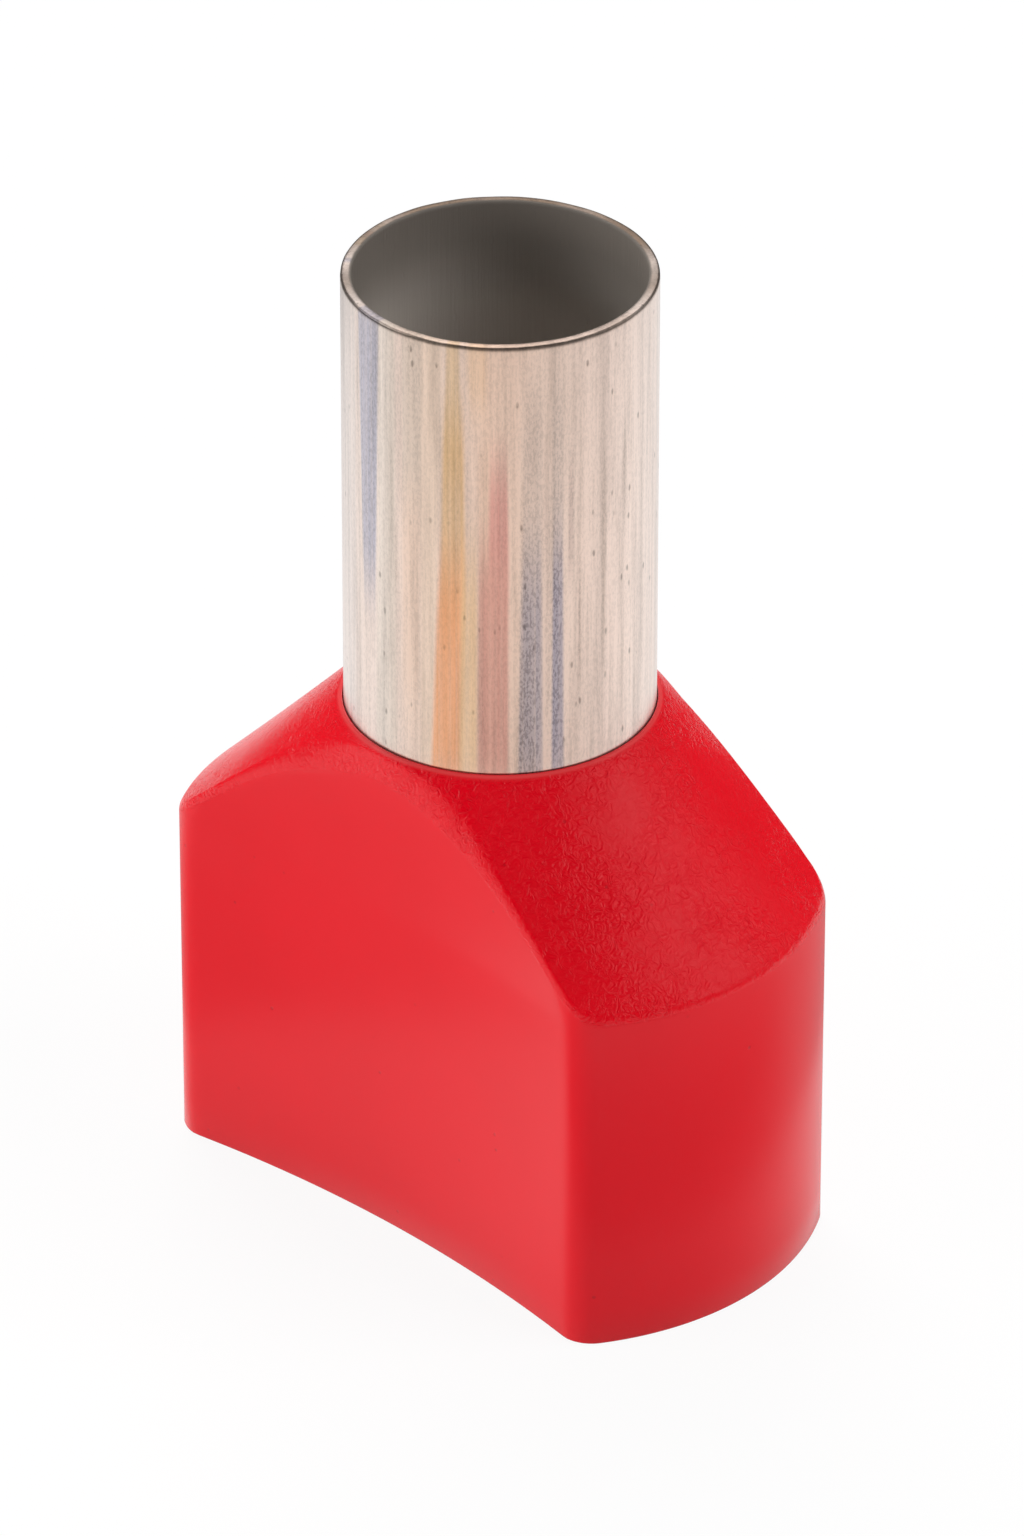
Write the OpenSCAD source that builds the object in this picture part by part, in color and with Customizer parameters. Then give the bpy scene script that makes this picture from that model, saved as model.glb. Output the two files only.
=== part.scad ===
// Twin wire ferrule: a thin tinned copper sleeve standing in a moulded plastic collar.
// Two insulated wires go into the collar side by side, and their bare strands go up the sleeve.
// Millimetres. +Z runs along the sleeve, X lies across the two wires, and the origin is the
// middle of the collar's open underside.

/* [Sleeve] */
// Outside diameter of the copper sleeve
sleeve_d = 7; // [6.6:0.05:7.2]
// Wall of the copper sleeve
sleeve_wall = 0.25; // [0.15:0.05:0.4]
// Length of sleeve that stands out of the collar
sleeve_reach = 10.7; // [6:0.1:16]
// Depth that the sleeve is seated in the collar
seat_depth = 1.2; // [0.8:0.1:1.8]
// How far the seated end is belled out, in radius, which locks it in the collar
bell = 0.08; // [0.04:0.02:0.12]

/* [Collar] */
// Width of the collar across both wires
collar_w = 15.42; // [14.6:0.02:17]
// Thickness of the collar at its four corners
collar_t = 7.92; // [7.8:0.02:9]
// Height of the collar, from its open underside to the lip round the sleeve
collar_h = 12.64; // [11.6:0.02:16]
// Radius of each bowed end face
end_r = 6.7; // [5.6:0.02:7.2]
// Radius of the upright corners
corner_r = 0.85; // [0.75:0.05:1.2]
// Depth that each broad face sinks in at its middle
waist_sink = 0.51; // [0.2:0.01:0.6]
// Height at which the broad faces start to lean out
bend_h = 8.3; // [7:0.1:8.6]
// Lean of the broad faces above that height, in degrees
face_lean = 4; // [3:0.5:8]
// Slope of the shoulders, in degrees
shoulder_slope = 46.3; // [44:0.1:50]
// Rounding between the shoulders and the end faces
shoulder_r = 1.2; // [0.8:0.1:1.6]
// Radius over the middle of each broad face, where it curves in to the lip
brow_r = 1.8; // [1.2:0.1:2.6]
// Least width of shoulder left between that curve and the lip
brow_land = 0.06; // [0.04:0.01:0.1]
// Wall of the collar
collar_wall = 0.5; // [0.4:0.05:0.6]

/* [Fits] */
// Clearance between the sleeve and its seat in the collar, on each side
seat_gap = 0.02; // [0.01:0.01:0.05]
// Width of the flat lip round the seat
lip_w = 0.06; // [0.04:0.01:0.12]

/* [Hidden] */
$fn = 96;

// Surfaces that would only touch cross by this much instead, which keeps every edge clean
cross = 0.02;

sleeve_r = sleeve_d / 2;
bore_r = sleeve_r - sleeve_wall;
lip_r = sleeve_r + seat_gap + lip_w;
seat_z = collar_h - seat_depth;
sleeve_top = collar_h + sleeve_reach;

// Plan: centres of the end arcs and of the corner circles
end_x = collar_w / 2 - end_r;
corner_y = collar_t / 2 - corner_r;
corner_x = end_x + sqrt(pow(end_r - corner_r, 2) - pow(corner_y, 2));

// Broad faces: in plan an arc about an upright axis outside the collar, which crosses out of
// the collar just short of the corners
face_y = collar_t / 2 - waist_sink;
sagitta = waist_sink + cross;
waist_r = (pow(corner_x, 2) + pow(sagitta, 2)) / (2 * sagitta);

// Shoulder: a cone from the lip down to a rounded rim that just clears the end faces
slope_out = [sin(shoulder_slope), cos(shoulder_slope)];
rim_r = collar_w / 2 + cross;
rim_mid_r = rim_r - shoulder_r;
foot_r = rim_mid_r + shoulder_r * slope_out[0];
foot_z = collar_h - (foot_r - lip_r) * tan(shoulder_slope);
rim_mid_z = foot_z - shoulder_r * slope_out[1];

// Brow: an arc that leaves the leaning face, which it crosses out of, and comes out through the
// cone just short of the lip. Distances are from the waist's axis. brow_end is where it comes
// out, brow_rise is how far that is up the face from the bend, brow_depth how far it is inside
// the arc's outermost line, and brow_mid is the arc's centre.
face_up = [-sin(face_lean), cos(face_lean)];
face_out = [-cos(face_lean), -sin(face_lean)];
bend = [waist_r, bend_h];
brow_end = [waist_r + face_y - lip_r - brow_land, collar_h - brow_land * tan(shoulder_slope)];
brow_rise = (brow_end - bend) * face_up;
brow_depth = cross + max(cross, (bend - brow_end) * face_out);
brow_start = brow_rise - sqrt(brow_depth * (2 * brow_r - brow_depth));
brow_mid = bend + brow_start * face_up - (brow_r - cross) * face_out;

module both_sides() {
    children();
    mirror([0, 1, 0]) children();
}

module both_ends() {
    children();
    mirror([1, 0, 0]) children();
}

// Sleeve: a straight tube, belled in its seat, whose mouth has a fully rounded edge
module sleeve() {
    straight_top = sleeve_top - sleeve_wall / 2;
    color([0.83, 0.80, 0.77])
        rotate_extrude() {
            polygon([[bore_r + bell, seat_z], [sleeve_r + bell, seat_z], [sleeve_r, collar_h],
                     [sleeve_r, straight_top], [bore_r, straight_top], [bore_r, collar_h]]);
            translate([bore_r + sleeve_wall / 2, straight_top]) circle(d = sleeve_wall);
        }
}

// Plan of the collar with its broad faces not yet sunk, drawn this far inside the outer one
module plan(inset) {
    reach = collar_w;
    corner_out = [corner_x - end_x, corner_y] / norm([corner_x - end_x, corner_y]);
    difference() {
        intersection() {
            square([2 * reach, collar_t - 2 * inset], center = true);
            end_limit(inset);
            mirror([1, 0]) end_limit(inset);
        }
        both_ends() both_sides()
            translate([corner_x, corner_y])
                difference() {
                    polygon([[0, 0], [0, 3 * corner_r], 3 * corner_r * corner_out]);
                    circle(corner_r - inset);
                }
    }
}

// Everything on the left of the right-hand end arc
module end_limit(inset) {
    translate([end_x, 0]) circle(end_r - inset);
    translate([end_x - 2 * collar_w, -collar_w]) square([2 * collar_w, 2 * collar_w]);
}

// Turns a section about the upright axis of each broad face's arc
module about_waist() {
    both_sides()
        translate([0, face_y + waist_r]) rotate_extrude() children();
}

// What is cut away beyond a broad face: upright up to the bend, then leaning outwards
module face_cut(inset) {
    r = waist_r + inset;
    top = collar_h + cross;
    about_waist()
        polygon([[0, -cross], [r, -cross], [r, bend_h], [r - (top - bend_h) * tan(face_lean), top],
                 [0, top]]);
}

// What is cut away over a brow: all that stands outside its arc, from the face up to the lip
module brow_cut() {
    about_waist()
        translate(brow_mid)
            difference() {
                polygon([[0, 0], 2 * brow_r * face_out, [0, 2 * brow_r]]);
                circle(brow_r);
            }
}

// Everything under the shoulder: a cone down to the rounded rim, turned about the sleeve
module under_shoulder() {
    rotate_extrude()
        difference() {
            polygon([[0, 0], [rim_r, 0], [rim_r, foot_z - (rim_r - foot_r) * tan(shoulder_slope)],
                     [lip_r, collar_h], [0, collar_h]]);
            translate([rim_mid_r, rim_mid_z])
                difference() {
                    polygon([[0, 0], [2 * shoulder_r, 0], 2 * shoulder_r * slope_out]);
                    circle(shoulder_r);
                }
        }
}

// Room for the two wires: the collar's own form, a wall thinner, closing to the belled bore
module wire_room() {
    reach = collar_w / 2;
    neck_r = bore_r + bell;
    difference() {
        intersection() {
            translate([0, 0, -cross]) linear_extrude(seat_z + 2 * cross) plan(collar_wall);
            rotate_extrude()
                polygon([[0, -cross], [reach, -cross],
                         [reach, seat_z - (reach - neck_r) * tan(shoulder_slope)],
                         [neck_r, seat_z], [neck_r, seat_z + cross], [0, seat_z + cross]]);
        }
        face_cut(collar_wall);
    }
}

// Seat: the sleeve's belled end with its clearance, open at the lip
module seat() {
    seat_r = sleeve_r + seat_gap;
    rotate_extrude()
        polygon([[0, seat_z], [seat_r + bell, seat_z], [seat_r, collar_h],
                 [seat_r, collar_h + cross], [0, collar_h + cross]]);
}

// Collar: one hollow moulding, open below, with its seat for the sleeve at the top
module collar() {
    color([0.86, 0.10, 0.16])
        difference() {
            intersection() {
                linear_extrude(collar_h + cross) plan(0);
                under_shoulder();
            }
            face_cut(0);
            brow_cut();
            wire_room();
            seat();
        }
}

sleeve();
collar();
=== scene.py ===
import math
import bpy
import numpy as np
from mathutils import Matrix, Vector


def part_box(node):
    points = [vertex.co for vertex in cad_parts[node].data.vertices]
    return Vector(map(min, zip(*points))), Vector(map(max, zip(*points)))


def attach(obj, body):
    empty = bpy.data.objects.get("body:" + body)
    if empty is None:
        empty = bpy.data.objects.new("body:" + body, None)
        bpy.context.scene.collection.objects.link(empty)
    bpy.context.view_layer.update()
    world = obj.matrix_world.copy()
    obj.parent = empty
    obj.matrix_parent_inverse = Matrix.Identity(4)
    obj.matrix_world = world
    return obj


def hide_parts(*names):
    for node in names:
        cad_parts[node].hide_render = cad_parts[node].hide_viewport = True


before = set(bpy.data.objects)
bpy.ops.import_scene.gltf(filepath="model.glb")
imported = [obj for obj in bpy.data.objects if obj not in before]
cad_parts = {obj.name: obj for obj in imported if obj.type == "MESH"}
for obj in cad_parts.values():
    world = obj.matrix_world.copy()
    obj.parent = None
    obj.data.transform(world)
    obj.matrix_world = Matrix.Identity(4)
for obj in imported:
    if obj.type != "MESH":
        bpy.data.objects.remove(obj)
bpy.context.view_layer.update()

mm = 0.001
print("frame loaded:", sorted(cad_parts))


def srgb(red, green, blue):
    # a colour picked on a screen, 0 to 255, turned into scene-linear values
    c = np.array([red, green, blue]) / 255
    return tuple(np.where(c <= 0.04045, c / 12.92, ((c + 0.055) / 1.055) ** 2.4)) + (1.0,)


def paint(colour):
    # the same as an array of three, for colours worked out on the mesh
    return np.array(srgb(*colour)[:3])


def ease(low, high, x):
    # rises smoothly from 0 at low to 1 at high: 3t^2 - 2t^3 of the clamped fraction t
    t = np.clip((x - low) / (high - low), 0, 1)
    return t * t * (3 - 2 * t)


def placed(name, data):
    made = bpy.data.objects.new(name, data)
    bpy.context.scene.collection.objects.link(made)
    return made


def wrappedMesh(name, points, attributes):
    # points is rows x columns x 3. Both directions close on themselves, so the skin is a ring
    # with no seam and no open edge; corner (i, j) joins (i, j+1), (i+1, j+1) and (i+1, j).
    rows, columns = points.shape[:2]
    i, j = np.meshgrid(np.arange(rows), np.arange(columns), indexing="ij")
    nextI, nextJ = (i + 1) % rows, (j + 1) % columns
    quads = np.stack([i * columns + j, i * columns + nextJ,
                      nextI * columns + nextJ, nextI * columns + j], -1).reshape(-1, 4)
    mesh = bpy.data.meshes.new(name)
    mesh.vertices.add(rows * columns)
    mesh.vertices.foreach_set("co", (points * mm).astype(np.float32).ravel())
    mesh.loops.add(quads.size)
    mesh.loops.foreach_set("vertex_index", quads.astype(np.int32).ravel())
    mesh.polygons.add(len(quads))
    mesh.polygons.foreach_set("loop_start", np.arange(0, quads.size, 4, dtype=np.int32))
    mesh.polygons.foreach_set("loop_total", np.full(len(quads), 4, dtype=np.int32))
    mesh.polygons.foreach_set("use_smooth", np.ones(len(quads), dtype=bool))
    mesh.update(calc_edges=True)
    for label, values in attributes.items():
        kind, field = ("FLOAT", "value") if values.ndim == 2 else ("FLOAT_COLOR", "color")
        layer = mesh.attributes.new(label, kind, "POINT")
        layer.data.foreach_set(field, values.astype(np.float32).ravel())
    return placed(name, mesh)


def addNode(tree, kind, plugs=None, **settings):
    # a socket among the plugs is linked, and anything else is set as the input's value
    made = tree.nodes.new(kind)
    for key, value in settings.items():
        setattr(made, key, value)
    for key, value in (plugs or {}).items():
        if isinstance(value, bpy.types.NodeSocket):
            tree.links.new(value, made.inputs[key])
        else:
            made.inputs[key].default_value = value
    return made


def calc(tree, operation, first, second=0.0, third=None):
    plugs = {0: first, 1: second}
    if third is not None:
        plugs[2] = third
    return addNode(tree, "ShaderNodeMath", plugs, operation=operation).outputs[0]


def spread(tree, value, low, high, toLow=0.0, toHigh=1.0):
    # a smooth step from toLow, where the value is low, to toHigh, where it is high
    plugs = {"Value": value, "From Min": low, "From Max": high, "To Min": toLow, "To Max": toHigh}
    return addNode(tree, "ShaderNodeMapRange", plugs, interpolation_type="SMOOTHSTEP").outputs[0]


def noise(tree, place, scale, detail=2.0, roughness=0.55, distortion=0.0):
    plugs = {"Vector": place, "Scale": scale, "Detail": detail, "Roughness": roughness,
             "Distortion": distortion}
    return addNode(tree, "ShaderNodeTexNoise", plugs).outputs["Fac"]


def dots(tree, place, scale, size):
    # 1 in the middle of each scattered cell, falling to 0 between the two sizes
    cells = addNode(tree, "ShaderNodeTexVoronoi",
                    {"Vector": place, "Scale": scale, "Randomness": 1.0})
    return spread(tree, cells.outputs["Distance"], *size, 1.0, 0.0)


def attribute(tree, label, output="Fac"):
    return addNode(tree, "ShaderNodeAttribute", attribute_name=label).outputs[output]


def along(tree, vector, azimuth, elevation=0):
    # the part of a vector that lies in this direction
    return addNode(tree, "ShaderNodeVectorMath", {0: vector, 1: towards(azimuth, elevation)},
                   operation="DOT_PRODUCT").outputs["Value"]


def blendColour(tree, amount, first, second, mode="MIX"):
    return addNode(tree, "ShaderNodeMix", {0: amount, 6: first, 7: second}, data_type="RGBA",
                   blend_type=mode, clamp_factor=True).outputs[2]


def addBump(tree, shader, height, strength, distance):
    bump = addNode(tree, "ShaderNodeBump",
                   {"Strength": strength, "Distance": distance, "Height": height})
    tree.links.new(bump.outputs[0], shader.inputs["Normal"])


def newMaterial(name):
    made = bpy.data.materials.new(name)
    made.use_nodes = True
    tree = made.node_tree
    tree.nodes.clear()
    shader = addNode(tree, "ShaderNodeBsdfPrincipled")
    addNode(tree, "ShaderNodeOutputMaterial", {"Surface": shader.outputs[0]})
    place = addNode(tree, "ShaderNodeTexCoord").outputs["Object"]
    return made, tree, shader, place


def towards(azimuth, elevation):
    # the unit vector that points this way from the ferrule
    a, e = math.radians(azimuth), math.radians(elevation)
    return Vector((math.sin(a) * math.cos(e), -math.cos(a) * math.cos(e), math.sin(e)))


shot = {
    "azimuth": 44.78, "elevation": 31.0, "distance": 255.4, "aimHeight": 11.0,
    "lens": 267.4, "sensor": 36.0, "shiftX": 0.0077, "shiftY": -0.00833, "clip": (0.001, 20),
}


def aim(thing, back, offset):
    # stands this far from the middle of the ferrule, and looks back at it
    thing.location = Vector((0, 0, shot["aimHeight"] * mm)) + offset
    thing.rotation_mode = "QUATERNION"
    thing.rotation_quaternion = (-back).to_track_quat("-Z", "Y")


def makeCamera():
    data = bpy.data.cameras.new("shotCamera")
    data.lens, data.sensor_width = shot["lens"], shot["sensor"]
    data.shift_x, data.shift_y = shot["shiftX"], shot["shiftY"]
    data.clip_start, data.clip_end = shot["clip"]
    camera = placed("shotCamera", data)
    back = towards(shot["azimuth"], shot["elevation"])
    aim(camera, back, back * shot["distance"] * mm)
    bpy.context.scene.camera = camera


makeCamera()
print("camera placed")


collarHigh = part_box("collar")[1]
sleeveLow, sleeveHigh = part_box("sleeve")

collar = {
    # the outline: bowed ends, round corners and sunk broad faces
    "halfWidth": collarHigh.x / mm, "halfThickness": collarHigh.y / mm - 0.001,
    "endRadius": 6.7, "cornerRadius": 0.85, "waistSink": 0.51, "sinkSoftness": 0.02,
    # above the bend a broad face leans out
    "bendHeight": 8.3, "lean": 0.07, "bendSoftness": 0.3, "leanRowsBelow": 0.6,
    # the shoulder, and the lip round the sleeve
    "slope": 1.046, "swell": 0.15, "swellSpan": 4.5,
    "lipHeight": collarHigh.z / mm, "lipRadius": 3.556, "lipRound": 0.25,
    # where the shoulder is short, the share of it that each rounding may take at most
    "lipShare": 0.45, "creaseShare": 0.5,
    # the crease between walls and shoulder: how far its rounding runs down (Round) and up
    # (Blend), how wide that is across a broad face (Span), and how round it is, 0 to 1 (Edge)
    "browRound": 0.64, "browSpan": 2.9, "cornerRound": 0.22, "endRound": 0.14, "endFade": 0.65,
    "browBlend": 1.1, "blendSpan": 2.1, "browEdge": 0.5, "cornerEdge": 0.9,
    # the hollow: the sleeve's seat, the neck under it, and the room for the two wires
    "lipEdge": 0.03, "throat": 0.08, "seatRadius": 3.52, "seatDepth": 1.2, "bell": 0.08,
    "neckRadius": 3.33, "wall": 0.5, "footRound": 0.05, "chamfer": 0.02,
    # the grained shoulder sets in above the crease and off the lip, and the line painted with a
    # highlight lies just outside the lip, near its top
    "grainAbove": (-0.02, 0.06), "grainOffLip": (0.02, 0.14),
    "lipHighlightOut": 0.03, "lipHighlightWidth": (0.07, 0.02), "lipHighlightDepth": (0.3, 0.2),
    # the mesh: its columns crowd together at the angle of each corner
    "columns": 720, "cornerAngle": 0.46, "cornerSpread": 0.07, "cornerCrowd": 3.0,
    "wallRows": 10, "leanRows": 30, "creaseRows": 22, "shoulderRows": 22, "lipRows": 8,
    "roomRows": 34,
}


def planPieces(inset):
    # centres and radii of the arcs that make the collar's outline, this far inside the outer one
    endX = collar["halfWidth"] - collar["endRadius"]
    cornerY = collar["halfThickness"] - collar["cornerRadius"]
    cornerX = endX + math.sqrt((collar["endRadius"] - collar["cornerRadius"]) ** 2 - cornerY ** 2)
    waist = collar["waistSink"]
    waistRadius = (cornerX ** 2 + waist ** 2) / (2 * waist)
    waistY = collar["halfThickness"] - waist + waistRadius
    return endX, cornerX, cornerY, waistY, waistRadius + inset


def hitCircle(c, s, centreX, centreY, radius, far):
    # where the ray (c, s) from the axis meets a circle: b -+ sqrt(b^2 - |centre|^2 + radius^2);
    # a ray that misses it gets a distance far outside the collar
    b = centreX * c + centreY * s
    inside = b * b - centreX ** 2 - centreY ** 2 + radius ** 2
    root = np.sqrt(np.maximum(inside, 0))
    return np.where(inside > 0, b + root if far else b - root, 1e3)


def wallRadius(angle, height, inset=0.0):
    # distance from the axis to the upright wall at this angle and height: bowed end, round
    # corner, then the sunk broad face, which leans out above the bend; with it come the angle
    # folded into one quarter, and the one at which the broad face starts
    endX, cornerX, cornerY, waistY, waistRadius = planPieces(inset)
    c, s = np.abs(np.cos(angle)), np.abs(np.sin(angle))
    # the lean is a soft ramp, half of h + sqrt(h^2 + softness^2) for h above the bend
    above = height - collar["bendHeight"]
    out = 0.5 * (above + np.sqrt(above ** 2 + collar["bendSoftness"] ** 2)) * collar["lean"]
    end = hitCircle(c, s, endX, 0, collar["endRadius"] - inset, True)
    corner = hitCircle(c, s, cornerX, cornerY, collar["cornerRadius"] - inset, True)
    sunk = hitCircle(c, s, 0, waistY, waistRadius - out, False)
    # the face is the softened lesser of the sunk arc and the flat plane it leans out to
    flat = (collar["halfThickness"] - inset) / np.maximum(s, 1e-6)
    face = 0.5 * (sunk + flat - np.sqrt((sunk - flat) ** 2 + collar["sinkSoftness"] ** 2))
    # the end's arc stops where the corner's starts, on the line through both centres
    reach = collar["endRadius"] - collar["cornerRadius"]
    ux, uy = (cornerX - endX) / reach, cornerY / reach
    r = collar["endRadius"] - inset
    endStops = math.atan2(r * uy, endX + r * ux)
    faceStarts = math.atan2(collar["halfThickness"] - inset, cornerX)
    at = np.arctan2(s, c)
    radius = np.where(at >= faceStarts, face, np.where(at >= endStops, corner, end))
    return radius, at, faceStarts


def shoulderZ(radius):
    # height of the shoulder, a cone that swells a little outwards:
    # z = lipHeight - slope (r - lipRadius) + swell ((r - lipRadius) / swellSpan)^2
    out = radius - collar["lipRadius"]
    swell = collar["swell"] * (out / collar["swellSpan"]) ** 2
    return collar["lipHeight"] - collar["slope"] * out + swell


def roomRadius(angle, height):
    # the hollow: a wall's thickness inside the outer wall, or the funnel where that is narrower,
    # r = neck + (seat - z) / slope
    seatZ = collar["lipHeight"] - collar["seatDepth"]
    funnel = collar["neckRadius"] + (seatZ - height) / collar["slope"]
    return np.minimum(wallRadius(angle, height, collar["wall"])[0], funnel)


def creaseSizes(angle, reach, at, faceStarts):
    # below the crease its rounding is widest over the middle of a broad face, where it runs
    # corner + (brow - corner) / (1 + (x / span)^4), and changes as t^fade along an end
    x, onBroad = reach * np.abs(np.cos(angle)), at >= faceStarts
    alongEnd = np.clip((faceStarts - at) / faceStarts, 0, 1)
    size = collar["cornerRound"] + np.where(
        onBroad,
        (collar["browRound"] - collar["cornerRound"]) / (1 + (x / collar["browSpan"]) ** 4),
        (collar["endRound"] - collar["cornerRound"]) * alongEnd ** collar["endFade"])
    # above it the rounding runs on up the cone, far over the broad faces, where it leaves only
    # a faint edge
    share = np.where(onBroad, 1 / (1 + (x / collar["blendSpan"]) ** 4), 0)
    blend = size + (collar["browBlend"] - size) * share
    roundness = collar["cornerEdge"] + (collar["browEdge"] - collar["cornerEdge"]) * share
    return size, blend, roundness


def between(low, high, count, ends=(True, True)):
    # count heights from low to high, each an array over the columns
    t = np.linspace(0, 1, count)[:, None]
    t = t[(0 if ends[0] else 1):(count if ends[1] else count - 1)]
    return low + (high - low) * t


def arc(start, corner, stop, count, roundness=1.0):
    # a quadratic curve (1-t)^2 a + 2t(1-t) b + t^2 c, which always arrives along the line from
    # the corner; b slides from stop (roundness 0) to the corner (1, tangent at both ends). The
    # rows come without the first, which the profile already has.
    t = np.linspace(0, 1, count)[:, None]
    bent = [c + (b - c) * roundness for b, c in zip(corner, stop)]
    r, z = [(1 - t) ** 2 * a + 2 * t * (1 - t) * b + t * t * c
            for a, b, c in zip(start, bent, stop)]
    return list(zip(r[1:], z[1:]))


def collarColumns():
    # angles round the collar, drawn closer together at the four corners: their density is
    # 1 + crowd exp(-((a - corner) / spread)^2), with a folded into one quarter
    t = np.linspace(-np.pi, np.pi, 4001)
    at = np.arctan2(np.abs(np.sin(t)), np.abs(np.cos(t)))
    offCorner = (at - collar["cornerAngle"]) / collar["cornerSpread"]
    weight = 1 + collar["cornerCrowd"] * np.exp(-offCorner ** 2)
    total = np.concatenate([[0], np.cumsum(0.5 * (weight[1:] + weight[:-1]))])
    share = np.arange(collar["columns"]) / collar["columns"] * total[-1]
    return np.interp(share, total, t)


def makeCollar():
    # profile rows (r, z), each an array over the angles, run from the foot up the wall, over the
    # crease, the shoulder and the lip, then down the sleeve's seat and the room for the wires
    angle = collarColumns()
    ones = np.ones_like(angle)
    lip, top = collar["lipRadius"], collar["lipHeight"]
    foot, at, faceStarts = wallRadius(angle, 0 * ones)
    crease = shoulderZ(foot)
    for _ in range(60):  # closes in on the height at which the wall meets the shoulder
        crease = 0.5 * crease + 0.5 * shoulderZ(wallRadius(angle, crease)[0])
    reach = wallRadius(angle, crease)[0]
    size, blend, roundness = creaseSizes(angle, reach, at, faceStarts)
    steep = math.hypot(1, collar["slope"])
    cone = (reach - lip) * steep
    lipFoot = lip + np.minimum(collar["lipRound"], collar["lipShare"] * cone) / steep
    coneFoot = reach - np.minimum(blend, collar["creaseShare"] * cone) / steep
    start = crease - size
    split = np.minimum(collar["bendHeight"] - collar["leanRowsBelow"], 0.9 * start)
    edge, chamfer = collar["footRound"], collar["chamfer"]

    rows = [(foot - edge, 0 * ones), (foot - 0.3 * edge, 0.3 * edge * ones)]
    walls = [*between(edge * ones, split, collar["wallRows"]),
             *between(split, start, collar["leanRows"], (False, True))]
    rows += [(wallRadius(angle, z)[0], z) for z in walls]
    rows += arc((wallRadius(angle, start)[0], start), (reach, crease),
                (coneFoot, shoulderZ(coneFoot)), collar["creaseRows"], roundness)
    rows += [(r, shoulderZ(r))
             for r in between(coneFoot, lipFoot, collar["shoulderRows"], (False, True))]
    seatR, seatZ = collar["seatRadius"], top - collar["seatDepth"]
    rows += arc((lipFoot, shoulderZ(lipFoot)), (lip * ones, top * ones),
                (seatR * ones, (top - collar["lipEdge"]) * ones), collar["lipRows"])
    belled = seatR + collar["bell"]
    rows += [(r * ones, z * ones) for r, z in (
        (seatR, top - collar["throat"]), (belled, seatZ + chamfer), (belled - chamfer, seatZ))]
    rows.append((roomRadius(angle, seatZ * ones) + chamfer, seatZ * ones))
    rows += [(roomRadius(angle, z), z)
             for z in between((seatZ - chamfer) * ones, edge * ones, collar["roomRows"])]
    rows.append((roomRadius(angle, 0 * ones) + edge, 0 * ones))

    radius, height = np.array(rows).transpose(1, 0, 2)
    points = np.stack([radius * np.cos(angle), radius * np.sin(angle), height], -1)
    # 1 on the shoulder, 0 on the walls and the lip: where the mould left a leathery finish
    offLip = [lip + gap for gap in collar["grainOffLip"]]
    shoulder = ease(*collar["grainAbove"], height - start) * ease(*offLip, radius)
    # 1 on the thin line round the lip where a highlight is painted
    nearTop = [top - depth for depth in collar["lipHighlightDepth"]]
    offLine = np.abs(radius - lip - collar["lipHighlightOut"])
    lipHighlight = ease(*collar["lipHighlightWidth"], offLine) * ease(*nearTop, height)
    return wrappedMesh("collarMoulding", points, {"shoulder": shoulder, "lipHighlight": lipHighlight})


collarPiece = makeCollar()
print("collar made:", len(collarPiece.data.vertices), "points")


tube = {
    "radius": 3.5, "wall": 0.25, "bell": 0.08, "chamfer": 0.02, "mouthPower": 0.6,
    "columns": 900, "outerRows": 60, "mouthRows": 25, "innerRows": 14,
    "rimRough": 0.012, "drawMarks": 0.006,
    # the rim's oxide colour also paints the shade on the rim's far side
    "base": (236, 221, 212), "oxideAndPaintedLight": (140, 118, 100), "palest": 0.93, "grit": 0.2,
    # degrees round the girth: where 0 is, and the lowest number that the count uses
    "zeroAt": -45.2, "countFrom": -95,
    # the heights that the edges of a mark slant between, and the height of a full-length one
    "markFoot": 12.6, "markReach": 10.6, "markTop": 23.3, "fullLength": 11,
    # ripples round the tube: seed, how many waves, and the fewest and most of their crests
    "rimRipple": (3, 14, 2, 26), "drawRipple": (8, 60, 6, 160),
    "streakRipple": (21, 90, 40, 330), "oxideRipple": (5, 10, 1, 14),
}

# The slow change of the copper's tint through the tin round the girth, partly painted light and
# shade as it falls round the tube: degrees, then the factors on red, green and blue
girthTintAndLight = [
    (-70, 1.05, 1.04, 1.04), (-58, 1.06, 1.03, 1.01), (-47, 1.12, 1.09, 1.08),
    (-34, 1.10, 0.99, 0.91), (-16, 1.07, 0.95, 0.87), (-4, 1.07, 0.89, 0.77),
    (20, 1.01, 0.90, 0.83), (42, 1.06, 0.98, 0.94), (64, 1.12, 1.09, 1.07),
    (112, 1.05, 1.02, 1.0), (262, 1.06, 1.05, 1.05),
]

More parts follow.
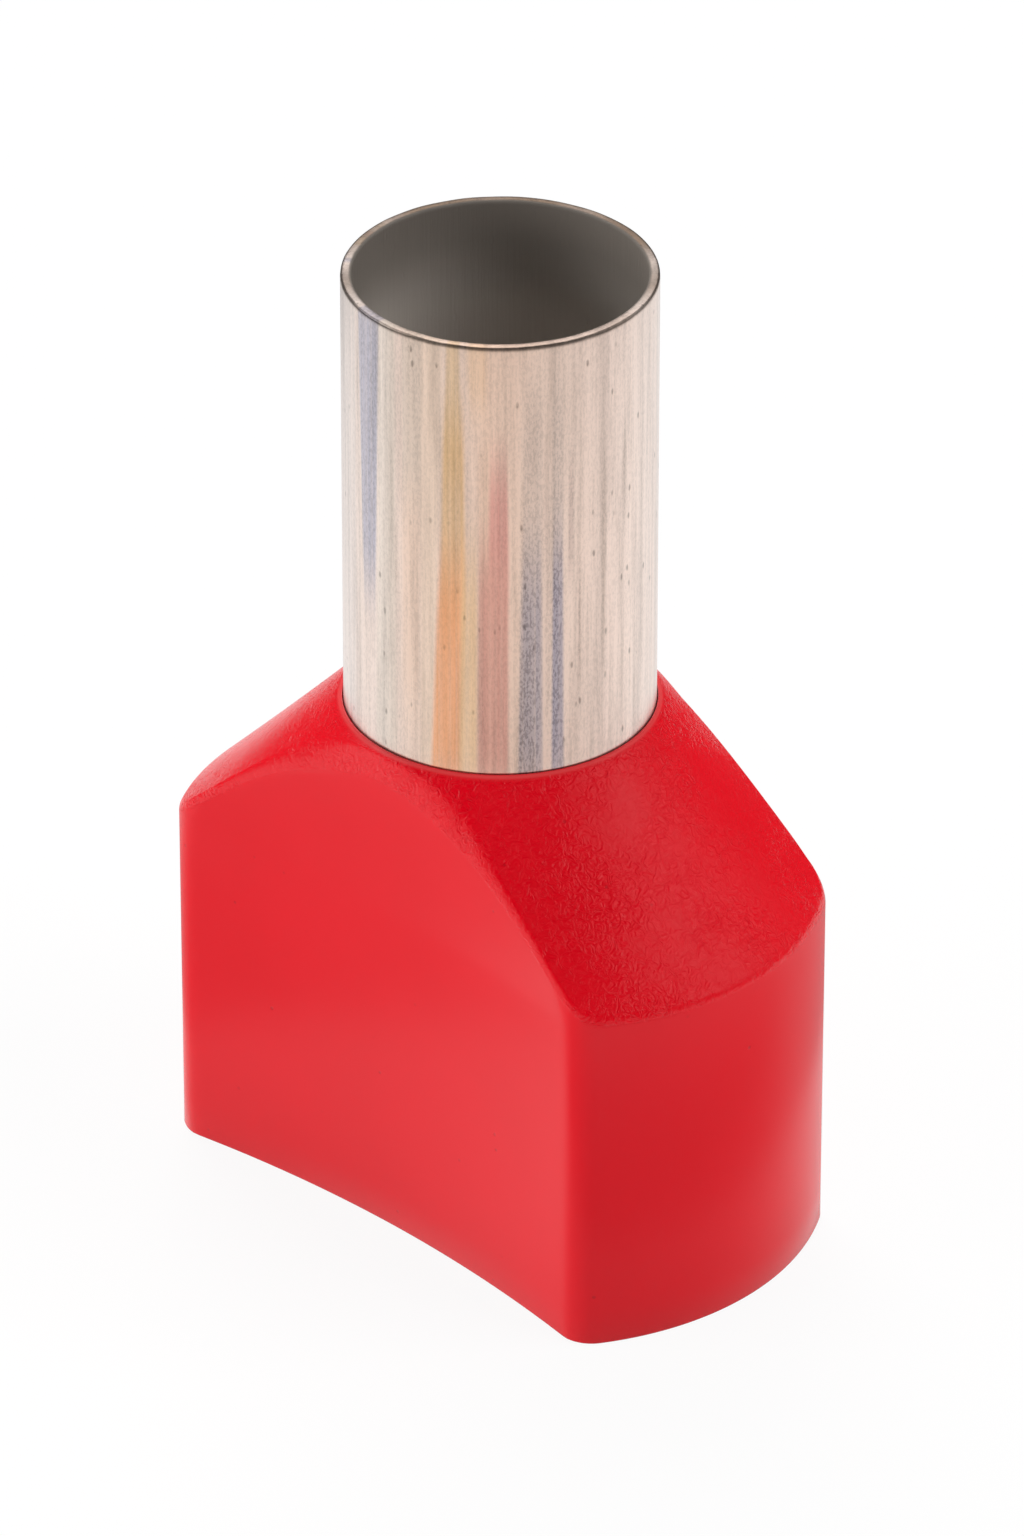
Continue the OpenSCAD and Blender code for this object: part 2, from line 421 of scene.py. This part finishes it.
# Each mark: left and right edge in degrees at its top, the same at its bottom, the heights
# between which it shows, how softly it fades there and at its sides, colour, strength and grit
marks = [
    (-90, -64, -90, -66, 24, 12, 1.0, 1.5, (232, 222, 216), 0.60, 0.2),
    (-62, -49, -59, -51.5, 24, 16.6, 1.3, 0.7, (176, 178, 196), 0.85, 0.5),
    (-49, -41, -51.5, -41, 24, 12, 1.0, 1.2, (226, 218, 206), 0.60, 0.15),
    (-37.5, -29, -37.5, -29.5, 24, 19, 1.2, 0.8, (203, 195, 186), 0.70, 0.3),
    (-38, -29.5, -38, -31, 19.4, 14, 1.2, 1.2, (226, 206, 192), 0.60, 0.2),
    (-29, -21, -30, -25, 24, 12, 1.0, 1.5, (234, 219, 204), 0.70, 0.1),
    (-19.4, -14.8, -20.5, -14, 24, 20, 1.0, 0.8, (224, 200, 162), 0.75, 0.15),
    (-21, -13, -22, -12.6, 21.5, 16, 1.2, 1.0, (224, 192, 146), 0.80, 0.15),
    (-22.5, -12.4, -26, -14.3, 17.8, 12, 1.4, 1.2, (238, 178, 134), 0.95, 0.12),
    (-14, -8.3, -15.3, -8.3, 18, 12, 1.6, 1.0, (238, 212, 174), 0.80, 0.1),
    (-12, -5, -11, -5, 24, 21.8, 0.8, 1.5, (232, 208, 180), 0.60, 0.15),
    (-8, -3.8, -7.7, -3.6, 20.8, 17.5, 1.2, 1.2, (216, 194, 180), 0.50, 0.2),
    (-3.8, 2.6, -4.2, 3.2, 20.4, 17.4, 1.2, 0.9, (214, 156, 156), 0.80, 0.2),
    (-7.7, 3.1, -8.2, 3.0, 18.2, 12, 1.4, 1.0, (210, 160, 154), 0.85, 0.2),
    (3.4, 7.4, 3.2, 6.2, 24, 12, 1.0, 1.2, (228, 212, 203), 0.60, 0.2),
    (7.8, 15.2, 7.8, 15.2, 22, 17, 1.5, 1.2, (203, 194, 190), 0.60, 0.5),
    (7.8, 15.0, 6.3, 15.6, 18, 12, 1.6, 0.8, (168, 167, 181), 0.90, 1.0),
    (15.6, 18.6, 16, 18.6, 20, 12, 1.5, 0.8, (222, 208, 202), 0.60, 0.4),
    (19.3, 23.0, 18.8, 23.6, 18.6, 12, 1.6, 0.7, (158, 159, 180), 0.90, 1.1),
    (19, 23, 19, 23, 22, 18.4, 1.4, 1.0, (214, 204, 200), 0.50, 0.6),
    (25.5, 27.2, 25, 27.5, 20.4, 17.6, 1.0, 0.6, (186, 172, 168), 0.60, 0.9),
    (29.3, 30.2, 29.3, 30.2, 17.4, 14.8, 0.9, 0.4, (168, 152, 146), 0.60, 0.9),
    (39.6, 41.4, 39.4, 41.4, 20, 15.4, 1.4, 0.8, (192, 178, 168), 0.60, 0.5),
    (50, 51.8, 49.8, 51.6, 20.6, 18.6, 0.9, 0.8, (186, 174, 166), 0.60, 0.6),
    (56, 80, 56, 80, 24, 12, 1.0, 1.5, (226, 212, 204), 0.50, 0.2),
    (80, 112, 80, 112, 24, 12, 1.0, 1.5, (234, 226, 222), 0.60, 0.2),
]

farSide = {
    "seed": 12, "from": 112.0, "to": 262, "width": (2.5, 9), "gap": (0.5, 6), "tilt": (-1.5, 1.5),
    "strength": (0.35, 0.85), "grit": (0.1, 0.8), "longShare": 0.6, "shortFoot": (14, 18),
    "top": 24, "foot": 12, "fade": 1.6, "softness": 1.0,
    "kinds": [(176, 178, 196), (203, 195, 186), (228, 206, 190), (224, 194, 150),
              (218, 172, 162), (180, 172, 176), (232, 220, 208)],
}


def farSideMarks():
    # the side turned away carries marks of the same kinds, laid out from one seed
    rng = np.random.default_rng(farSide["seed"])
    found, edge = [], farSide["from"]
    while edge < farSide["to"]:
        width = rng.uniform(*farSide["width"])
        kind = rng.integers(len(farSide["kinds"]))
        strength, grit = rng.uniform(*farSide["strength"]), rng.uniform(*farSide["grit"])
        runsLong = rng.random() < farSide["longShare"]
        low = farSide["foot"] if runsLong else rng.uniform(*farSide["shortFoot"])
        tilt = rng.uniform(*farSide["tilt"])
        found.append((edge, edge + width, edge + tilt, edge + width + tilt, farSide["top"], low,
                      farSide["fade"], farSide["softness"], farSide["kinds"][kind], strength,
                      grit))
        edge += width + rng.uniform(*farSide["gap"])
    return found


def ringNoise(angle, seed, waves, low, high):
    # a smooth closed ripple: a sum of sines of whole wave numbers between low and high
    rng = np.random.default_rng(seed)
    count = rng.integers(low, high, waves)
    phase, weight = rng.uniform(0, 2 * np.pi, waves), rng.uniform(0.3, 1, waves)
    ripple = (weight[:, None] * np.sin(count[:, None] * angle + phase[:, None])).sum(0)
    return ripple / np.abs(ripple).max()


def paintMarks(angle, turn, height):
    # lays each mark over the last: colour = colour (1 - m) + mark m, where m is the product of
    # two edge steps round the tube and two fades along it, broken up by fine streaks
    colour = np.ones(turn.shape + (3,)) * paint(tube["base"])
    grit = np.full(turn.shape, tube["grit"])
    upTube = np.clip((height - tube["markFoot"]) / tube["markReach"], 0, 1)
    streak = 0.88 + 0.2 * ringNoise(angle, *tube["streakRipple"])
    for leftTop, rightTop, leftLow, rightLow, high, low, fade, soft, tint, strength, rough in (
            marks + farSideMarks()):
        t = upTube
        if high - low < tube["fullLength"]:
            t = np.clip((height - low) / (min(high, tube["markTop"]) - low), 0, 1)
        left, right = leftLow + (leftTop - leftLow) * t, rightLow + (rightTop - rightLow) * t
        m = strength * ease(-soft, soft, turn - left) * ease(-soft, soft, right - turn)
        m = m * ease(low - fade, low + fade, height) * ease(-high - fade, -high + fade, -height)
        m = np.clip(m * streak, 0, 1)
        colour = colour * (1 - m[..., None]) + paint(tint) * m[..., None]
        grit = grit * (1 - m) + rough * m
    # the girth factors: the copper's tint, partly painted light and shade round the tube
    degrees, *factors = np.array(girthTintAndLight).T
    colour = colour * np.stack([np.interp(turn, degrees, f) for f in factors], -1)
    colour = np.clip(colour, 0, tube["palest"])
    return np.concatenate([colour, np.ones(turn.shape + (1,))], -1), grit


def makeSleeve():
    # profile rows (r, z) run up the outside, over the rounded rim and down the bore
    angle = np.linspace(-np.pi, np.pi, tube["columns"], endpoint=False)
    outer, inner, half = tube["radius"], tube["radius"] - tube["wall"], tube["wall"] / 2
    bell, chamfer, power = tube["bell"], tube["chamfer"], tube["mouthPower"]
    top, seatZ, lipZ = sleeveHigh.z / mm, sleeveLow.z / mm, collarHigh.z / mm
    rows = [(outer + bell - chamfer, seatZ), (outer + bell, seatZ + chamfer)]
    rows += [(outer, z) for z in np.linspace(lipZ, top - half, tube["outerRows"])[:-1]]
    # the mouth's edge is squarish, nearly flat on top: |x|^(2/p) + |z|^(2/p) = 1, p the power
    rows += [(outer - half + half * math.copysign(abs(math.cos(a)) ** power, math.cos(a)),
              top - half + half * math.sin(a) ** power)
             for a in np.linspace(0, np.pi, tube["mouthRows"])]
    rows += [(inner, z) for z in np.linspace(top - half, lipZ, tube["innerRows"])[1:]]
    rows += [(inner + bell, seatZ + chamfer), (inner + bell + chamfer, seatZ)]
    r, z = np.array(rows).T[:, :, None] * np.ones_like(angle)
    # the rim dips and the outside is drawn in by half of 1 + ripple times their depths
    onRim = ease(top - 1.6 * half, top - 0.6 * half, z)
    z = z - onRim * tube["rimRough"] * (0.5 + 0.5 * ringNoise(angle, *tube["rimRipple"]))
    outside = ease(outer - 0.02, outer, r) * ease(lipZ, lipZ + 1, z)
    r = r - outside * tube["drawMarks"] * (0.5 + 0.5 * ringNoise(angle, *tube["drawRipple"]))
    points = np.stack([r * np.cos(angle), r * np.sin(angle), z], -1)
    turn = np.degrees(angle) - tube["zeroAt"] - tube["countFrom"]
    turn = turn % 360 + tube["countFrom"] + 0 * z
    colour, grit = paintMarks(angle, turn, z)
    # the mouth's edge is oxidised in patches, and painted darker on the far side as shade
    patch = 0.35 * ringNoise(angle, *tube["oxideRipple"]) + 0.3 * (1 - np.cos(np.radians(turn)))
    oxideAndPaintedLight = ease(top - 1.1 * half, top - 0.5 * half, z) * np.clip(0.3 + patch, 0, 1)
    colour[..., :3] += (paint(tube["oxideAndPaintedLight"]) - colour[..., :3]) * oxideAndPaintedLight[..., None]
    # 0 outside, then 0.5 at the mouth of the bore and 1 deep in it
    bore = ease(1.3 * half, 1.9 * half, outer - r) * (0.5 + 0.5 * ease(0, 4, top - z))
    return wrappedMesh("tinnedSleeve", points, {"sleeveTintAndPaintedLight": colour, "grit": grit, "bore": bore})


sleevePiece = makeSleeve()
print("sleeve made:", len(sleevePiece.data.vertices), "points")


# In both finishes a noise is listed by its scale, detail, roughness and bend, and a pair of
# numbers is where a smooth step in it starts and ends
redFinish = {
    "base": (223, 0, 24), "deep": (215, 0, 20), "mottle": (260.0, 1.0, 0.5),
    "mottleGain": 1.2, "mottleShift": -0.1,
    "roughness": 0.24, "roughSwing": 0.06, "specular": 0.37,
    "pit": (140, 0, 16), "pitAmount": 0.4, "pitDepth": 0.08, "pitScale": 1500.0,
    "pitSize": (0.03, 0.09), "pitPatches": 700.0, "pitWhere": (0.46, 0.6),
    "wrinkle": (4400.0, 2.0, 0.5, 1.2), "wrinkleLevel": 0.2, "wrinkleDepth": 0.6,
    "grainPatches": 420.0, "grainWhere": (0.36, 0.62), "grainLeast": 0.3,
    # the wrinkles' crests are painted a paler red, a painted highlight
    "crestHighlight": (236, 50, 58), "crestWidth": 0.03, "crestAmount": 0.32,
    # the thin line round the lip is painted paler, a painted highlight
    "lipHighlight": (232, 92, 92), "lipHighlightAmount": 0.5,
    "skin": (3600.0, 2.0, 0.5), "skinDepth": 0.006, "bumpDistance": 0.00012,
}


def redPlastic():
    # pigmented plastic: slow mottling in the colour, a fine even skin, and on the shoulder the
    # wrinkled grain that the mould was left with, with a painted highlight along its crests
    finish = redFinish
    made, tree, shader, place = newMaterial("redPlastic")
    mottle = noise(tree, place, *finish["mottle"])
    tone = calc(tree, "MULTIPLY_ADD", mottle, finish["mottleGain"], finish["mottleShift"])
    colour = blendColour(tree, tone, srgb(*finish["deep"]), srgb(*finish["base"]))
    rough = calc(tree, "MULTIPLY_ADD", mottle, finish["roughSwing"],
                 finish["roughness"] - finish["roughSwing"] / 2)
    tree.links.new(rough, shader.inputs["Roughness"])
    shader.inputs["Specular IOR Level"].default_value = finish["specular"]
    # scattered pinpricks
    where = spread(tree, noise(tree, place, finish["pitPatches"]), *finish["pitWhere"])
    pit = calc(tree, "MULTIPLY", dots(tree, place, finish["pitScale"], finish["pitSize"]), where)
    # wrinkles: thin crests along the middle level of a bent noise, level - |n - 0.5|
    patch = spread(tree, noise(tree, place, finish["grainPatches"]), *finish["grainWhere"],
                   finish["grainLeast"], 1.0)
    grain = calc(tree, "MULTIPLY", attribute(tree, "shoulder"), patch)
    wrinkle = noise(tree, place, *finish["wrinkle"])
    wrinkle = calc(tree, "ABSOLUTE", calc(tree, "SUBTRACT", wrinkle, 0.5))
    # a painted highlight: the wrinkles' crests are painted a paler red
    crestHighlight = spread(tree, wrinkle, 0.0, finish["crestWidth"], finish["crestAmount"], 0.0)
    crestHighlight = calc(tree, "MULTIPLY", crestHighlight, grain)
    wrinkle = calc(tree, "SUBTRACT", finish["wrinkleLevel"], wrinkle)
    wrinkle = calc(tree, "MULTIPLY", wrinkle, grain)
    colour = blendColour(tree, crestHighlight, colour, srgb(*finish["crestHighlight"]))
    # pinpricks, then the painted highlight on the thin line round the lip, laid over the colour
    for mask, name in ((pit, "pit"), (attribute(tree, "lipHighlight"), "lipHighlight")):
        amount = calc(tree, "MULTIPLY", mask, finish[name + "Amount"])
        colour = blendColour(tree, amount, colour, srgb(*finish[name]))
    tree.links.new(colour, shader.inputs["Base Color"])
    skin = noise(tree, place, *finish["skin"])
    height = calc(tree, "MULTIPLY_ADD", skin, finish["skinDepth"], wrinkle)
    height = calc(tree, "MULTIPLY_ADD", pit, -finish["pitDepth"], height)
    addBump(tree, shader, height, finish["wrinkleDepth"], finish["bumpDistance"])
    return made


tinFinish = {
    "roughness": 0.30, "roughSwing": 0.12, "metallic": 0.92,
    # the bore's colour at its mouth and deep in it, painted paler deeper in as painted light
    # against the shade there
    "boreMouth": (117, 110, 103), "boreDeep": (184, 176, 168), "boreRoughness": 0.62,
    "boreMetallic": 0.1,
    # how much the draw marks and the specks are drawn out along the tube
    "lineStretch": 0.035, "speckStretch": 0.45,
    "line": (9000.0, 4.0, 0.65), "lineWeight": 0.60, "level": 0.65,
    "wide": (1500.0, 3.0, 0.6), "wideWeight": 0.26, "wideOffset": 0.12,
    "band": (3600.0, 2.0, 0.5), "paleWhere": (0.50, 0.64), "pale": 0.09,
    "darkWhere": (0.36, 0.48), "dark": 0.08, "brightest": 1.07,
    "speck": (21000.0, 2.0, 0.6), "speckWhere": (0.42, 0.62), "speckLeast": 0.02,
    "speckByGrit": 0.42, "liftByGrit": 0.12, "bumpByGrit": 0.5,
    "pitScale": 3000.0, "pitSize": (0.05, 0.15), "pitPatches": 900.0, "pitWhere": (0.38, 0.52),
    "pitDark": 0.45, "bump": 0.12, "bumpDistance": 0.0001,
}


def tinnedCopper():
    # tin over drawn copper: the marks' tint with painted light and shade in it, fine lines along
    # the tube, grit where a mark is coarse, scattered pits, and a dull oxide skin down the bore
    finish = tinFinish
    made, tree, shader, place = newMaterial("tinnedCopper")
    grit, bore = attribute(tree, "grit"), attribute(tree, "bore")
    long, short = [addNode(tree, "ShaderNodeMapping", {
        "Vector": place, "Scale": (1, 1, finish[stretch])}).outputs[0]
        for stretch in ("lineStretch", "speckStretch")]
    line, wide, band = [noise(tree, long, *finish[name]) for name in ("line", "wide", "band")]
    speck = noise(tree, short, *finish["speck"])
    # the level that darkens or lightens the tint: lines, then pale and dark streaks
    level = calc(tree, "MULTIPLY_ADD", line, finish["lineWeight"], finish["level"])
    level = calc(tree, "SUBTRACT", level, finish["wideOffset"])
    level = calc(tree, "MULTIPLY_ADD", wide, finish["wideWeight"], level)
    pale = spread(tree, band, *finish["paleWhere"], 0.0, finish["pale"])
    level = calc(tree, "ADD", level, pale)
    dark = spread(tree, band, *finish["darkWhere"], finish["dark"], 0.0)
    level = calc(tree, "SUBTRACT", level, dark)
    # specks, more of them where a mark is gritty, which is a little paler between them
    specks = calc(tree, "MULTIPLY", spread(tree, speck, *finish["speckWhere"]), calc(
        tree, "MULTIPLY_ADD", grit, finish["speckByGrit"], finish["speckLeast"]))
    specks = calc(tree, "SUBTRACT", specks, calc(tree, "MULTIPLY", grit, finish["liftByGrit"]))
    level = calc(tree, "SUBTRACT", level, specks)
    where = spread(tree, noise(tree, place, finish["pitPatches"]), *finish["pitWhere"])
    pit = calc(tree, "MULTIPLY", dots(tree, short, finish["pitScale"], finish["pitSize"]), where)
    level = calc(tree, "MULTIPLY", level, calc(tree, "MULTIPLY_ADD", pit, -finish["pitDark"], 1.0))
    level = calc(tree, "MINIMUM", level, finish["brightest"])
    grey = addNode(tree, "ShaderNodeCombineColor", {0: level, 1: level, 2: level}).outputs[0]
    # this tint carries painted light and shade from the girth factors and the rim's far side
    tint = attribute(tree, "sleeveTintAndPaintedLight", "Color")
    colour = blendColour(tree, 1.0, tint, grey, "MULTIPLY")
    inside = spread(tree, bore, 0.0, 0.5)
    # painted light: the bore is painted paler deeper in, to offset the shade down it
    oxideAndPaintedLight = blendColour(tree, spread(tree, bore, 0.5, 1.0), srgb(*finish["boreMouth"]),
                        srgb(*finish["boreDeep"]))
    colour = blendColour(tree, inside, colour, oxideAndPaintedLight)
    tree.links.new(colour, shader.inputs["Base Color"])
    metal = spread(tree, inside, 0.0, 1.0, finish["metallic"], finish["boreMetallic"])
    tree.links.new(metal, shader.inputs["Metallic"])
    rough = calc(tree, "MULTIPLY_ADD", line, finish["roughSwing"],
                 finish["roughness"] - finish["roughSwing"] / 2)
    rough = calc(tree, "MULTIPLY_ADD", inside, finish["boreRoughness"] - finish["roughness"], rough)
    tree.links.new(rough, shader.inputs["Roughness"])
    height = calc(tree, "MULTIPLY", grit, finish["bumpByGrit"])
    height = calc(tree, "MULTIPLY_ADD", speck, height, line)
    height = calc(tree, "SUBTRACT", height, pit)
    addBump(tree, shader, height, finish["bump"], finish["bumpDistance"])
    return made


collarPiece.data.materials.append(redPlastic())
sleevePiece.data.materials.append(tinnedCopper())
for piece, node, slot in ((collarPiece, "collar", "red_plastic"),
                          (sleevePiece, "sleeve", "tinned_copper")):
    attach(piece, "root")
    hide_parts(node)


studio = {
    # the world dims from its horizon up to its ceiling, by the ray's own height
    "horizon": 0.11, "ceiling": 0.01, "dimsOver": (0.25, 0.62),
    "floorSize": 4.0, "floorDrop": 0.00002, "floorColour": 0.84, "glowSeen": 0.92,
    # how bright the floor is where it is mirrored in the part: under it, in a ring round that,
    # then near and far, each with the distances from the axis, in metres, that it changes over
    "glowUnder": 0.93, "underTo": (0.0105, 0.0145), "glowRing": 0.50, "ringTo": (0.018, 0.023),
    "glowNear": 1.0, "glowFar": 0.15, "nearTo": (0.042, 0.09),
    # it is dimmer far out on one side, and shaded close by on the other
    "dimSide": -118, "dim": 0.4, "dimFrom": (0.036, 0.052),
    "shadeSide": 62, "shade": 0.40, "shadeFrom": (0.003, 0.009), "shadeTo": (0.015, 0.025),
}

# The world's own soft boxes, which glossy surfaces mirror: azimuth, elevation, half the angle
# they fill, how far their edge fades, and their brightness
worldBoxes = [
    (-53, 34, 13, 12, 1.0), (147, 32, 11, 12, 0.42), (-135, 48, 20, 12, 1.3),
]

# The lamps: azimuth, elevation, distance, width, height and power
lamps = {
    "keySoftbox": (-30, 13, 0.9, 0.7, 0.36, 5.8),
    "rightSoftbox": (120, 36, 1.0, 0.7, 0.6, 7.0),
    "topSoftbox": (45, 60, 1.0, 0.5, 0.5, 0.8),
    "backSoftbox": (-120, 48, 1.0, 0.7, 0.6, 5.2),
}


def anyOf(tree, *names):
    # 1 where the ray is one of these kinds
    path = addNode(tree, "ShaderNodeLightPath")
    found = path.outputs[names[0]]
    for name in names[1:]:
        found = calc(tree, "MAXIMUM", found, path.outputs[name])
    return found


def makeWorld():
    world = bpy.data.worlds.new("studioWorld")
    world.use_nodes = True
    bpy.context.scene.world = world
    tree = world.node_tree
    tree.nodes.clear()
    ray = addNode(tree, "ShaderNodeTexCoord").outputs["Generated"]
    up = addNode(tree, "ShaderNodeSeparateXYZ", {0: ray}).outputs["Z"]
    bright = spread(tree, up, *studio["dimsOver"], studio["horizon"], studio["ceiling"])
    for azimuth, elevation, half, fade, light in worldBoxes:
        edge = [math.cos(math.radians(angle)) for angle in (half + fade, half)]
        near = along(tree, ray, azimuth, elevation)
        bright = calc(tree, "ADD", bright, spread(tree, near, *edge, 0.0, light))
    bright = calc(tree, "MAXIMUM", bright, 0.0)
    lit, seen = [addNode(tree, "ShaderNodeBackground", {
        "Strength": strength, "Color": (1, 1, 1, 1)}).outputs[0] for strength in (bright, 1.0)]
    mix = addNode(tree, "ShaderNodeMixShader", {0: anyOf(tree, "Is Camera Ray"), 1: lit, 2: seen})
    addNode(tree, "ShaderNodeOutputWorld", {"Surface": mix.outputs[0]})


def floorMirror(tree, place):
    # how bright the floor looks where it is mirrored in the part: bright close by, falling off
    # towards its far edge and more so behind, and shaded on the side turned from the key light
    away = addNode(tree, "ShaderNodeVectorMath", {0: place}, operation="LENGTH").outputs["Value"]
    ring = spread(tree, away, *studio["ringTo"], studio["glowRing"], 1.0)
    far = spread(tree, away, *studio["nearTo"], studio["glowNear"], studio["glowFar"])
    under = spread(tree, away, *studio["underTo"], studio["glowUnder"], 0.0)
    mirror = calc(tree, "MAXIMUM", calc(tree, "MINIMUM", ring, far), under)
    behind = along(tree, place, studio["dimSide"])
    dim = spread(tree, behind, *studio["dimFrom"], 1.0, studio["dim"])
    beside = along(tree, place, studio["shadeSide"])
    shade = calc(tree, "MULTIPLY", spread(tree, beside, *studio["shadeFrom"]),
                 spread(tree, away, *studio["shadeTo"], studio["shade"], 0.0))
    mirror = calc(tree, "MULTIPLY", mirror, dim)
    return calc(tree, "MULTIPLY", mirror, calc(tree, "SUBTRACT", 1.0, shade))


def makeFloor():
    half = studio["floorSize"] / 2
    mesh = bpy.data.meshes.new("studioFloor")
    corners = [(-half, -half, 0), (half, -half, 0), (half, half, 0), (-half, half, 0)]
    mesh.from_pydata(corners, [], [(0, 1, 2, 3)])
    floor = placed("studioFloor", mesh)
    floor.location.z = -studio["floorDrop"]
    made, tree, shader, place = newMaterial("floorWhite")
    shader.inputs["Base Color"].default_value = (studio["floorColour"],) * 3 + (1,)
    shader.inputs["Roughness"].default_value = 1.0
    shader.inputs["Specular IOR Level"].default_value = 0.0
    # it glows for the camera and in mirrors, and keeps the share that shows the part's shadow
    mirrored = anyOf(tree, "Is Glossy Ray", "Is Transmission Ray")
    seen = anyOf(tree, "Is Camera Ray")
    light = calc(tree, "MULTIPLY_ADD", floorMirror(tree, place), mirrored, seen)
    glow = addNode(tree, "ShaderNodeEmission", {"Color": (1, 1, 1, 1), "Strength": light})
    share = calc(tree, "MULTIPLY_ADD", seen, studio["glowSeen"], mirrored)
    mix = addNode(tree, "ShaderNodeMixShader", {0: share, 1: shader.outputs[0], 2: glow.outputs[0]})
    tree.links.new(mix.outputs[0], tree.get_output_node("ALL").inputs["Surface"])
    mesh.materials.append(made)


def addLamp(name, azimuth, elevation, distance, width, height, power):
    # a soft box that lights the ferrule but isn't mirrored in it, as the world has its own
    data = bpy.data.lights.new(name, "AREA")
    data.shape, data.size, data.size_y, data.energy = "RECTANGLE", width, height, power
    lamp = placed(name, data)
    lamp.visible_glossy = False
    back = towards(azimuth, elevation)
    aim(lamp, back, back * distance)


makeWorld()
makeFloor()
for name, settings in lamps.items():
    addLamp(name, *settings)
bpy.context.scene.view_settings.view_transform = "Standard"
print("studio lit")
